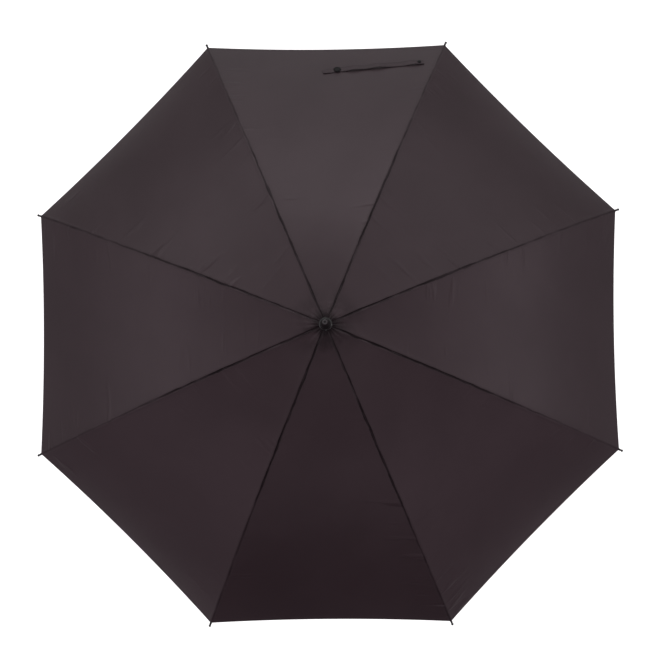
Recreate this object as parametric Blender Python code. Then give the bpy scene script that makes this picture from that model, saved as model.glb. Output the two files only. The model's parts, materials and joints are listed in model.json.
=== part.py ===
"""A manual golf umbrella, standing open on its straight handle.

The origin is the centre of the handle's flat end and +Z runs up the shaft to the ferrule. Eight ribs hang
on a wire ring in the top notch. Each rib is a channel section that carries a round outer rod, and a
stretcher joins each rib to the runner. Rib and stretcher pivots are equally far from the shaft and the two
lengths are equal, so the runner stays on the shaft at every angle of the fold. All sizes are in metres.
"""

import math

import bmesh
import bpy
from mathutils import Matrix, Vector

# Driving dimensions of the frame
RIB_COUNT = 8
FIRST_RIB_ANGLE = math.radians(22.5)
RIB_SPACING = 2 * math.pi / RIB_COUNT
SHAFT_RADIUS = 0.007
SHAFT_WALL = 0.001
NOTCH_Z = 0.930  # height of the rib pivots
PIVOT_RADIUS = 0.0125  # of the notch wire and of the runner wire
RIB_LENGTH = 0.730  # along the bent rib, pivot to rod end
ROOT_SLOPE = math.radians(5.0)  # of the rib below the horizontal at its pivot
TIP_SLOPE = math.radians(49.0)
JOINT_AT = 0.355  # how far along the rib the stretcher joins it
JOINT_DROP = 0.0065  # the stretcher's pin is this far under the rib's middle
FLEX_AT = JOINT_AT + 0.009  # where the outer rod starts
GAP = 0.0003  # between touching pieces

# Sections of the frame's pieces
RIB_HALF_WIDTH = 0.0017
RIB_HALF_DEPTH = 0.0016
CHANNEL_WALL = 0.0006
TONGUE_HALF = 0.0007
PLATE_HALF = 0.0012
CHEEK_INNER = 0.0016
CHEEK_OUTER = 0.0026
EYE_RADIUS = 0.0022
WIRE_RADIUS = 0.0006
HOLE_RADIUS = 0.00085
ROD_RADIUS = 0.0015
ROD_STATIONS = 8
TONGUE_END = 0.014
CHANNEL_START = 0.0085

# Canopy
CLOTH_THICKNESS = 0.0006
CLOTH_LIFT = 0.0031  # of its underside over the rib's middle
CROWN_LIFT = 0.0036  # more lift at the crown, where it passes over the notch
CROWN_FADE = 0.045
CLOTH_START = -0.0025
CLOTH_END = RIB_LENGTH - 0.014
PANEL_SAG = 0.0045  # of the hem's middle under the straight line between two ribs
HEM_SCALLOP = 0.0015

# Shaft, handle and catches
SHAFT_BOTTOM = 0.010
SHAFT_TOP = NOTCH_Z + 0.036
GRIP_TOP = 0.150
HANDLE_TOP = 0.164
FERRULE_TOP = NOTCH_Z + 0.085
SLEEVE_BOTTOM = -0.045  # of the runner, under its pivots
CATCH_LENGTH = 0.026
CATCH_HALF_WIDTH = 0.0010
CATCH_REACH = 0.0102  # from the shaft's axis

# Tie strap, as places on the panel: a share of the way to the next rib, and a distance from the hem
STRAP_RIB = 2
STRAP_BASE = (0.059, 0.070)
STRAP_TIP = (0.513, 0.097)
STRAP_HALF_WIDTH = 0.0065
STRAP_THICKNESS = 0.0010
SNAP_FROM_TIP = 0.030

BEND = (TIP_SLOPE - ROOT_SLOPE) / RIB_LENGTH


# ---------------------------------------------------------------- the rib's curve and the linkage
def slope(along):
    """The rib's angle below the horizontal at a distance along it."""
    return ROOT_SLOPE + BEND * along


def rib_point(along, lift=0.0):
    """(distance from the shaft's axis, height) of a point on the rib's middle, or lifted square to it."""
    angle = slope(along)
    out = PIVOT_RADIUS + (math.sin(angle) - math.sin(ROOT_SLOPE)) / BEND
    height = NOTCH_Z + (math.cos(angle) - math.cos(ROOT_SLOPE)) / BEND
    return out + lift * math.sin(angle), height + lift * math.cos(angle)


JOINT = rib_point(JOINT_AT, -JOINT_DROP)
FLEX = rib_point(FLEX_AT)
STRETCHER_LENGTH = math.hypot(JOINT[0] - PIVOT_RADIUS, JOINT[1] - NOTCH_Z)
OPEN_ANGLE = math.atan2(JOINT[0] - PIVOT_RADIUS, NOTCH_Z - JOINT[1])  # between rib and shaft
RUNNER_Z = NOTCH_Z - 2 * STRETCHER_LENGTH * math.cos(OPEN_ANGLE)


# ---------------------------------------------------------------- modelling helpers
def clear_scene():
    for thing in list(bpy.data.objects):
        bpy.data.objects.remove(thing)


def material(name, colour, roughness, metallic=0.0):
    made = bpy.data.materials.new(name)
    made.use_nodes = True
    shader = made.node_tree.nodes["Principled BSDF"]
    shader.inputs["Base Color"].default_value = (*colour, 1.0)
    shader.inputs["Roughness"].default_value = roughness
    shader.inputs["Metallic"].default_value = metallic
    return made


def helper(points, faces):
    """A temporary object made of these points and faces, facing out."""
    mesh = bpy.data.meshes.new("helper")
    mesh.from_pydata([tuple(point) for point in points], [], faces)
    shape = bmesh.new()
    shape.from_mesh(mesh)
    bmesh.ops.recalc_face_normals(shape, faces=shape.faces)
    shape.to_mesh(mesh)
    shape.free()
    made = bpy.data.objects.new("helper", mesh)
    bpy.context.scene.collection.objects.link(made)
    return made


def sweep(sections):
    """A solid through a row of sections, each a list of points that run the same way round."""
    size = len(sections[0])
    points = [point for section in sections for point in section]
    faces = [tuple(range(size)), tuple(range(len(points) - size, len(points)))]
    for row in range(len(sections) - 1):
        for side in range(size):
            first = row * size + side
            second = row * size + (side + 1) % size
            faces.append((first, second, second + size, first + size))
    return helper(points, faces)


def plate(outline, inner, outer):
    """An outline of (x, z) points, pulled from y = inner to y = outer."""
    return sweep([[(x, y, z) for x, z in outline] for y in (inner, outer)])


def pin(x, z, radius, inner, outer, sides=8):
    """A round bar along Y."""
    turn = [2 * math.pi * (side + 0.5) / sides for side in range(sides)]
    return plate([(x + radius * math.cos(a), z + radius * math.sin(a)) for a in turn], inner, outer)


def turned(profile, sides=24):
    """A solid turned about Z from a closed profile of (radius, height) points."""
    shape = bmesh.new()
    ring = [shape.verts.new((radius, 0, height)) for radius, height in profile]
    edges = [shape.edges.new((ring[i - 1], ring[i])) for i in range(len(ring))]
    bmesh.ops.spin(
        shape,
        geom=ring + edges,
        axis=(0, 0, 1),
        cent=(0, 0, 0),
        angle=2 * math.pi,
        steps=sides,
        use_merge=True,
    )
    bmesh.ops.remove_doubles(shape, verts=shape.verts, dist=1e-6)
    bmesh.ops.recalc_face_normals(shape, faces=shape.faces)
    mesh = bpy.data.meshes.new("helper")
    shape.to_mesh(mesh)
    shape.free()
    made = bpy.data.objects.new("helper", mesh)
    bpy.context.scene.collection.objects.link(made)
    return made


def arc(centre, radius, start, end, count):
    """Points along an arc about centre, from one angle in degrees to another."""
    angles = [math.radians(start + (end - start) * i / (count - 1)) for i in range(count)]
    return [(centre[0] + radius * math.cos(a), centre[1] + radius * math.sin(a)) for a in angles]


def combine(base, joins=(), cuts=()):
    """The mesh of base with joins added and cuts taken out. The helpers are removed."""
    steps = [(other, "UNION") for other in joins] + [(other, "DIFFERENCE") for other in cuts]
    for other, operation in steps:
        modifier = base.modifiers.new(operation, "BOOLEAN")
        modifier.object = other
        modifier.operation = operation
        modifier.solver = "EXACT"
    graph = bpy.context.evaluated_depsgraph_get()
    mesh = bpy.data.meshes.new_from_object(base.evaluated_get(graph))
    for other in [base, *joins, *cuts]:
        bpy.data.objects.remove(other)
    mesh.shade_smooth()
    mesh.set_sharp_from_angle(angle=math.radians(35))
    return mesh


def node(name, mesh, finish, place=None):
    """A named piece of the umbrella."""
    if not mesh.materials:
        mesh.materials.append(finish)
    made = bpy.data.objects.new(name, mesh)
    made.matrix_world = place or Matrix.Identity(4)
    bpy.context.scene.collection.objects.link(made)
    return made


def turn_to_rib(number, out, height):
    """Places a piece made in the plane of rib number, with its origin on that rib's joint."""
    angle = FIRST_RIB_ANGLE + (number - 1) * RIB_SPACING
    return Matrix.Rotation(angle, 4, "Z") @ Matrix.Translation((out, 0, height))


# ---------------------------------------------------------------- ribs, rods, stretchers and tips
def channel_section(half_width, half_depth, wall):
    """A channel open on its lower side, as (across, up) points."""
    inner = half_width - wall
    web = half_depth - wall
    return [
        (-half_width, -half_depth),
        (-inner, -half_depth),
        (-inner, web),
        (inner, web),
        (inner, -half_depth),
        (half_width, -half_depth),
        (half_width, half_depth),
        (-half_width, half_depth),
    ]


def along_rib(section, start, end, count, origin):
    """A section of (across, up) points swept along the rib, relative to origin."""
    rows = []
    for i in range(count):
        at = start + (end - start) * i / (count - 1)
        row = []
        for across, up in section:
            out, height = rib_point(at, up)
            row.append((out - origin[0], across, height - origin[1]))
        rows.append(row)
    return sweep(rows)


def lengthwise_plate(stations, origin, inner, outer):
    """A flat plate in the rib's plane. Stations are (along, lower lift, upper lift)."""
    lower = [rib_point(at, low) for at, low, _ in stations]
    upper = [rib_point(at, high) for at, _, high in reversed(stations)]
    outline = [(out - origin[0], height - origin[1]) for out, height in lower + upper]
    return plate(outline, inner, outer)


def rib_mesh():
    """The channel rib with its eye, the plate that the stretcher hangs on and the fork that holds the rod."""
    pivot = (PIVOT_RADIUS, NOTCH_Z)
    joint = (JOINT[0] - pivot[0], JOINT[1] - pivot[1])
    flex = (FLEX[0] - pivot[0], FLEX[1] - pivot[1])
    section = channel_section(RIB_HALF_WIDTH, RIB_HALF_DEPTH, CHANNEL_WALL)
    channel = along_rib(section, CHANNEL_START, JOINT_AT - 0.002, 7, pivot)
    eye = pin(0, 0, EYE_RADIUS, -TONGUE_HALF, TONGUE_HALF)
    narrow = 0.0014
    outline = [(0, -0.0018, 0.0018), (TONGUE_END, -narrow, narrow)]
    tongue = lengthwise_plate(outline, pivot, -TONGUE_HALF, TONGUE_HALF)
    low, high = -0.0022, 0.0019
    block = lengthwise_plate(
        [(JOINT_AT - 0.009, low, high), (JOINT_AT + 0.004, low, high)], pivot, -CHEEK_OUTER, CHEEK_OUTER
    )
    hanger = lengthwise_plate(
        [(JOINT_AT - EYE_RADIUS, -JOINT_DROP, -0.001), (JOINT_AT + EYE_RADIUS, -JOINT_DROP, -0.001)],
        pivot,
        -PLATE_HALF,
        PLATE_HALF,
    )
    boss = pin(*joint, EYE_RADIUS, -PLATE_HALF, PLATE_HALF)
    joins = [tongue, eye, block, hanger, boss]
    for side in (-1, 1):
        inner, outer = sorted((side * CHEEK_INNER, side * CHEEK_OUTER))
        cheek = lengthwise_plate(
            [(JOINT_AT + 0.001, -0.0018, 0.0018), (FLEX_AT, -0.0019, 0.0018)], pivot, inner, outer
        )
        joins += [cheek, pin(*flex, 0.0019, inner, outer)]
    joins.append(pin(*flex, WIRE_RADIUS, -CHEEK_INNER - 0.0005, CHEEK_INNER + 0.0005))
    cuts = [
        pin(0, 0, HOLE_RADIUS, -0.002, 0.002, 6),
        pin(*joint, HOLE_RADIUS, -0.003, 0.003, 6),
    ]
    return combine(channel, joins, cuts)


def tip_cap():
    """The plastic cap on the rod's end, in the rod's frame. It is one solid with the rod."""
    nose = 0.0027
    profile = [(0, -0.013), (0.0024, -0.013), (0.0024, -0.005), (0.0019, -0.003), (nose, -0.001)]
    profile += arc((nose - 0.0017, 0.0023), 0.0017, 0, 90, 3)
    profile.append((0, 0.004))
    cap = turned(profile, 8)
    out, height = rib_point(RIB_LENGTH)
    last_stretch = (RIB_LENGTH - FLEX_AT) / (ROD_STATIONS - 1)
    point_out = Matrix.Rotation(math.pi / 2 + slope(RIB_LENGTH - last_stretch / 2), 4, "Y")
    cap.data.transform(Matrix.Translation((out - FLEX[0], 0, height - FLEX[1])) @ point_out)
    return cap


def rod_mesh():
    """The round outer rod with its cap, and the flat root that turns in the rib's fork."""
    sides = 6
    turn = [2 * math.pi * (side + 0.5) / sides for side in range(sides)]
    section = [(ROD_RADIUS * math.cos(a), ROD_RADIUS * math.sin(a)) for a in turn]
    rod = along_rib(section, FLEX_AT + 0.005, RIB_LENGTH, ROD_STATIONS, FLEX)
    root = lengthwise_plate(
        [(FLEX_AT, -0.0013, 0.0013), (FLEX_AT + 0.009, -0.0012, 0.0012)], FLEX, -PLATE_HALF, PLATE_HALF
    )
    eye = pin(0, 0, 0.0018, -PLATE_HALF, PLATE_HALF)
    return combine(rod, [root, eye, tip_cap()], [pin(0, 0, HOLE_RADIUS, -0.003, 0.003, 6)])


def stretcher_mesh():
    """Made along -X from the pin in its fork to the eye on the runner's wire."""
    length = STRETCHER_LENGTH
    section = channel_section(0.0016, 0.0014, CHANNEL_WALL)
    rows = [[(-at, across, up) for across, up in section] for at in (0.008, length - CHANNEL_START)]
    channel = sweep(rows)
    bridge = [(-0.005, -0.0018), (-0.012, -0.0018), (-0.012, 0.0018), (-0.005, 0.0018)]
    joins = [plate(bridge, -CHEEK_OUTER, CHEEK_OUTER)]
    for side in (-1, 1):
        inner, outer = sorted((side * CHEEK_INNER, side * CHEEK_OUTER))
        joins.append(plate([(0, -0.0018), (-0.006, -0.0017), (-0.006, 0.0017), (0, 0.0018)], inner, outer))
        joins.append(pin(0, 0, 0.0019, inner, outer))
    joins.append(pin(0, 0, WIRE_RADIUS, -CHEEK_INNER - 0.0005, CHEEK_INNER + 0.0005))
    end = length - TONGUE_END
    narrow = 0.0012
    bridge = [(-end, -narrow), (-length, -0.0018), (-length, 0.0018), (-end, narrow)]
    joins.append(plate(bridge, -TONGUE_HALF, TONGUE_HALF))
    joins.append(pin(-length, 0, EYE_RADIUS, -TONGUE_HALF, TONGUE_HALF))
    return combine(channel, joins, [pin(-length, 0, HOLE_RADIUS, -0.002, 0.002, 6)])


def build_ribs(steel, glass):
    rib, rod, stretcher = rib_mesh(), rod_mesh(), stretcher_mesh()
    lean = Matrix.Rotation(OPEN_ANGLE - math.pi / 2, 4, "Y")
    for number in range(1, RIB_COUNT + 1):
        node(f"rib_{number}", rib, steel, turn_to_rib(number, PIVOT_RADIUS, NOTCH_Z))
        node(f"rod_{number}", rod, glass, turn_to_rib(number, *FLEX))
        node(f"stretcher_{number}", stretcher, steel, turn_to_rib(number, *JOINT) @ lean)


# ---------------------------------------------------------------- canopy and tie strap
def cloth_lift(along):
    return CLOTH_LIFT + CROWN_LIFT * math.exp((CLOTH_START - along) / CROWN_FADE)


def cloth_point(along, share, height=0.0):
    """A point of the cloth's underside, or height over it, in the frame of a rib that lies along +X.

    Share runs from this rib (0) to the next one round (1).
    """
    out, up = rib_point(along, cloth_lift(along) + height)
    near = Vector((out, 0, up))
    far = Vector((out * math.cos(RIB_SPACING), out * math.sin(RIB_SPACING), up))
    bow = 4 * share * (1 - share)
    sag = PANEL_SAG * bow * max(along, 0) / CLOTH_END
    angle = slope(along)
    middle = RIB_SPACING / 2
    inward = Vector((math.sin(angle) * math.cos(middle), math.sin(angle) * math.sin(middle), math.cos(angle)))
    return near.lerp(far, share) - sag * inward


def crown_at(share):
    return CLOTH_START


def above_bend(share):
    return FLEX_AT - GAP


def below_bend(share):
    return FLEX_AT + GAP


def hem_at(share):
    return CLOTH_END - HEM_SCALLOP * 4 * share * (1 - share)


def gore_mesh(first_row, last_row):
    """Part of the cloth from one rib to the next, in the frame of the first rib.

    The rows are functions from share to distance along the rib.
    """
    rows, columns = 7, 4
    to_next = Vector((math.sin(RIB_SPACING), -math.cos(RIB_SPACING), 0)) * GAP
    sections = []
    for row in range(rows + 1):
        layers = []
        for height in (0.0, CLOTH_THICKNESS):
            layer = []
            for column in range(columns + 1):
                share = column / columns
                along = first_row(share) + (last_row(share) - first_row(share)) * row / rows
                layer.append(cloth_point(along, share, height))
            layer[0] = layer[0] + Vector((0, GAP, 0))
            layer[-1] = layer[-1] + to_next
            layers.append(layer)
        sections.append(layers[0] + layers[1][::-1])
    return combine(sweep(sections))


def strap_place(from_tip, height):
    """A point on the middle of the tie strap at a distance from its free end, over the cloth's outer face."""
    root = cloth_point(hem_at(0) - STRAP_BASE[1], STRAP_BASE[0])
    end = cloth_point(hem_at(0) - STRAP_TIP[1], STRAP_TIP[0])
    length = (root - end).length
    part = 1 - from_tip / length
    share = STRAP_BASE[0] + (STRAP_TIP[0] - STRAP_BASE[0]) * part
    inset = STRAP_BASE[1] + (STRAP_TIP[1] - STRAP_BASE[1]) * part
    return cloth_point(hem_at(0) - inset, share, CLOTH_THICKNESS + height), length


def strap_axes(from_tip):
    """(along the strap to its free end, across it towards the hem, away from the cloth) at a place on it."""
    here = strap_place(from_tip, 0)[0]
    lifted = strap_place(from_tip, 0.01)[0]
    ahead = strap_place(from_tip - 0.005, 0)[0]
    along = (ahead - here).normalized()
    away = (lifted - here).normalized()
    across = along.cross(away).normalized()
    return along, across, across.cross(along).normalized()


def build_canopy(cloth, plastic):
    upper = gore_mesh(crown_at, above_bend)
    lower = gore_mesh(below_bend, hem_at)
    for number in range(1, RIB_COUNT + 1):
        node(f"canopy_top_{number}", upper, cloth, turn_to_rib(number, 0, 0))
        node(f"canopy_hem_{number}", lower, cloth, turn_to_rib(number, 0, 0))
    length = strap_place(0, 0)[1]
    lift = 0.0012
    sections = []
    stations = 8
    for i in range(stations + 1):
        from_tip = length * (1 - i / stations)
        middle = strap_place(from_tip, lift)[0]
        _, across, away = strap_axes(from_tip)
        corners = [(-1, 0), (1, 0), (1, 1), (-1, 1)]
        wide, thick = across * STRAP_HALF_WIDTH, away * STRAP_THICKNESS
        sections.append([middle + wide * x + thick * z for x, z in corners])
    node("tie_strap", combine(sweep(sections)), cloth, turn_to_rib(STRAP_RIB, 0, 0))
    snaps = (("snap_cap", SNAP_FROM_TIP, 0.0070), ("snap_stud", length - 0.009, 0.0040))
    for name, from_tip, radius in snaps:
        along, across, away = strap_axes(from_tip)
        seat = strap_place(from_tip, lift)[0] + away * (STRAP_THICKNESS + GAP)
        place = Matrix.Translation(seat) @ Matrix((along, -across, away)).transposed().to_4x4()
        profile = [(0, 0), (radius, 0), (radius, 0.0006), (radius - 0.0008, 0.0016), (0, 0.0019)]
        node(name, combine(turned(profile, 16)), plastic, turn_to_rib(STRAP_RIB, 0, 0) @ place)


# ---------------------------------------------------------------- shaft, notch, runner and catches
def slots(z_low, z_high, inner, outer):
    """Eight radial slots for the eyes of the ribs or stretchers."""
    half = TONGUE_HALF + GAP + 0.0001
    outline = [(inner, z_low), (outer, z_low), (outer, z_high), (inner, z_high)]
    made = []
    for number in range(RIB_COUNT):
        slot = plate(outline, -half, half)
        slot.matrix_world = turn_to_rib(number + 1, 0, 0)
        made.append(slot)
    return made


def wire_ring(height):
    """The closed wire that the eyes turn on."""
    sides = 6
    turn = [2 * math.pi * side / sides for side in range(sides)]
    profile = [(PIVOT_RADIUS + WIRE_RADIUS * math.cos(a), height + WIRE_RADIUS * math.sin(a)) for a in turn]
    made = turned(profile, 3 * RIB_COUNT)
    made.data.transform(Matrix.Rotation(FIRST_RIB_ANGLE, 4, "Z"))
    return combine(made)


def build_notch(plastic, steel, cloth):
    bore = SHAFT_RADIUS + GAP
    groove = PIVOT_RADIUS - 0.0011
    rim = 0.016
    low, high = NOTCH_Z - 0.006, NOTCH_Z + 0.0044
    half = 0.0010
    profile = [(bore, low), (rim - 0.002, low), (rim, low + 0.0015), (rim, NOTCH_Z - half)]
    profile += [(groove, NOTCH_Z - half), (groove, NOTCH_Z + half), (rim, NOTCH_Z + half)]
    profile += [(rim, NOTCH_Z + 0.0034), (rim - 0.004, high), (bore, high)]
    cuts = slots(low - 0.001, NOTCH_Z + 0.0027, 0.0098, rim + 0.002)
    node("top_notch", combine(turned(profile), cuts=cuts), plastic)
    node("notch_wire", wire_ring(NOTCH_Z), steel)
    base = NOTCH_Z + 0.00475
    disc = [(bore, base), (0.017, base), (0.017, base + 0.0003), (bore, base + 0.0003)]
    node("crown_rosette", combine(turned(disc)), cloth)


def build_runner(plastic, steel):
    bore = SHAFT_RADIUS + 0.00035
    groove = PIVOT_RADIUS - 0.0011
    sleeve = 0.0093
    rim = 0.016
    half = 0.0010
    middle = RUNNER_Z
    low = middle + SLEEVE_BOTTOM
    profile = [(bore, low), (0.0118, low), (0.0124, low + 0.001), (0.0124, low + 0.004)]
    profile.append((sleeve + 0.0006, low + 0.007))
    profile += [(sleeve, low + 0.012), (sleeve, middle - 0.011), (rim - 0.002, middle - 0.0048)]
    profile += [(rim, middle - 0.0034), (rim, middle - half), (groove, middle - half)]
    profile += [(groove, middle + half), (rim, middle + half), (rim, middle + 0.0045)]
    profile += [(rim - 0.0015, middle + 0.006), (bore, middle + 0.006)]
    cuts = slots(middle - 0.0027, middle + 0.008, 0.0098, rim + 0.002)
    sill, head = low + 0.0105, low + 0.026
    cuts.append(plate([(0.004, sill), (0.014, sill), (0.014, head), (0.004, head)], -0.0016, 0.0016))
    node("runner", combine(turned(profile), cuts=cuts), plastic)
    node("runner_wire", wire_ring(middle), steel)


def catch_tops():
    """Heights of the square upper ends of the two catches: under the open runner, and in the closed one."""
    closed_runner = NOTCH_Z - 2 * STRETCHER_LENGTH * math.cos(math.radians(2.0))
    return RUNNER_Z + SLEEVE_BOTTOM - 0.0006, closed_runner + SLEEVE_BOTTOM + 0.0245


def build_shaft(steel, plastic):
    inner = SHAFT_RADIUS - SHAFT_WALL
    profile = [(inner, SHAFT_BOTTOM), (SHAFT_RADIUS, SHAFT_BOTTOM)]
    profile += [(SHAFT_RADIUS, SHAFT_TOP), (inner, SHAFT_TOP)]
    cuts = []
    half = CATCH_HALF_WIDTH + GAP
    for top in catch_tops():
        low, high = top - 0.019, top + 0.0006
        cuts.append(plate([(0.003, low), (0.009, low), (0.009, high), (0.003, high)], -half, half))
    node("shaft_tube", combine(turned(profile), cuts=cuts), steel)
    foot = 0.0036
    outline = [(foot, -CATCH_LENGTH), (0.0056, -CATCH_LENGTH), (0.0056, 0.002 - CATCH_LENGTH)]
    outline.append((0.0053, -0.0178))
    outline += [(CATCH_REACH, -0.003), (CATCH_REACH, 0), (foot, 0)]
    for name, top in zip(("top_catch", "bottom_catch"), catch_tops()):
        blade = combine(plate(outline, -CATCH_HALF_WIDTH, CATCH_HALF_WIDTH))
        node(name, blade, steel, Matrix.Translation((0, 0, top)))
    bore = SHAFT_RADIUS + GAP
    low = RUNNER_Z + 0.0066
    stop = [(bore, low), (0.0092, low), (0.0096, low + 0.0006), (0.0096, low + 0.0044)]
    stop += [(0.0090, low + 0.005), (bore, low + 0.005)]
    node("shaft_stop", combine(turned(stop)), plastic)


def build_crown(plastic):
    bore = SHAFT_RADIUS + GAP
    base = NOTCH_Z + 0.0081
    cap = [(bore, base), (0.0128, base)]
    cap += arc((0.0114, base + 0.0016), 0.0016, -20, 70, 4)
    cap += [(bore, base + 0.0036)]
    node("top_cap", combine(turned(cap)), plastic)
    foot = base + 0.0039
    top = FERRULE_TOP
    ferrule = [(bore, foot), (0.0094, foot), (0.0098, foot + 0.0008), (0.0094, foot + 0.0022)]
    ferrule.append((0.0084, foot + 0.003))
    ferrule += [(0.0080, SHAFT_TOP), (0.0058, top - 0.012)]
    ferrule += arc((0.0046, top - 0.0010), 0.0010, 0, 90, 4)
    ferrule += [(0.0026, top), (0.0024, top - 0.005), (0, top - 0.005)]
    ferrule += [(0, SHAFT_TOP + GAP), (bore, SHAFT_TOP + GAP)]
    node("ferrule", combine(turned(ferrule)), plastic)


def build_handle(plastic, foam):
    bore = SHAFT_RADIUS + GAP
    core = 0.0095
    floor = 0.0088
    cap = [(0, 0), (0.0130, 0)]
    cap += arc((0.0130, 0.0022), 0.0022, -80, 0, 5)
    cap += [(0.0152, 0.0078), (0.0146, floor - GAP), (0, floor - GAP)]
    node("handle_end_cap", combine(turned(cap)), plastic)
    tube = [(bore, floor), (core, floor), (core, HANDLE_TOP - 0.001), (bore, HANDLE_TOP - 0.001)]
    node("handle_core", combine(turned(tube)), plastic)
    inner = core + GAP
    grip = [(inner, floor), (0.0148, floor), (0.0156, floor + 0.003)]
    stations = 6
    low, high = floor + 0.003, GRIP_TOP - 0.003
    for i in range(1, stations):
        part = i / stations
        grip.append((0.0156 + 0.0008 * math.sin(math.pi * part), low + (high - low) * part))
    grip += [(0.0156, high), (0.0148, GRIP_TOP), (inner, GRIP_TOP)]
    node("handle_grip", combine(turned(grip)), foam)
    low = GRIP_TOP + GAP
    collar = [(inner, low), (0.0150, low), (0.0152, low + 0.001), (0.0142, low + 0.005)]
    collar.append((0.0118, HANDLE_TOP - 0.001))
    collar += [(0.0110, HANDLE_TOP), (inner, HANDLE_TOP)]
    node("handle_collar", combine(turned(collar)), plastic)


def main():
    clear_scene()
    steel = material("frame_steel", (0.020, 0.020, 0.022), 0.35, 0.6)
    glass = material("rod_fibreglass", (0.015, 0.015, 0.016), 0.4)
    plastic = material("black_plastic", (0.012, 0.011, 0.012), 0.35)
    cloth = material("pongee_cloth", (0.040, 0.033, 0.036), 0.7)
    foam = material("grip_foam", (0.018, 0.018, 0.019), 0.85)
    build_shaft(steel, plastic)
    build_notch(plastic, steel, cloth)
    build_runner(plastic, steel)
    build_crown(plastic)
    build_handle(plastic, foam)
    build_ribs(steel, glass)
    build_canopy(cloth, plastic)


main()
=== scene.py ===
"""The golf umbrella's looks, built round its CAD frame: cloth, rods, strap, handle, finishes, light, camera.

Everything is in metres in the frame's own axes: +Z runs up the shaft from the handle's flat end.
"""

import json
import math

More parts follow.
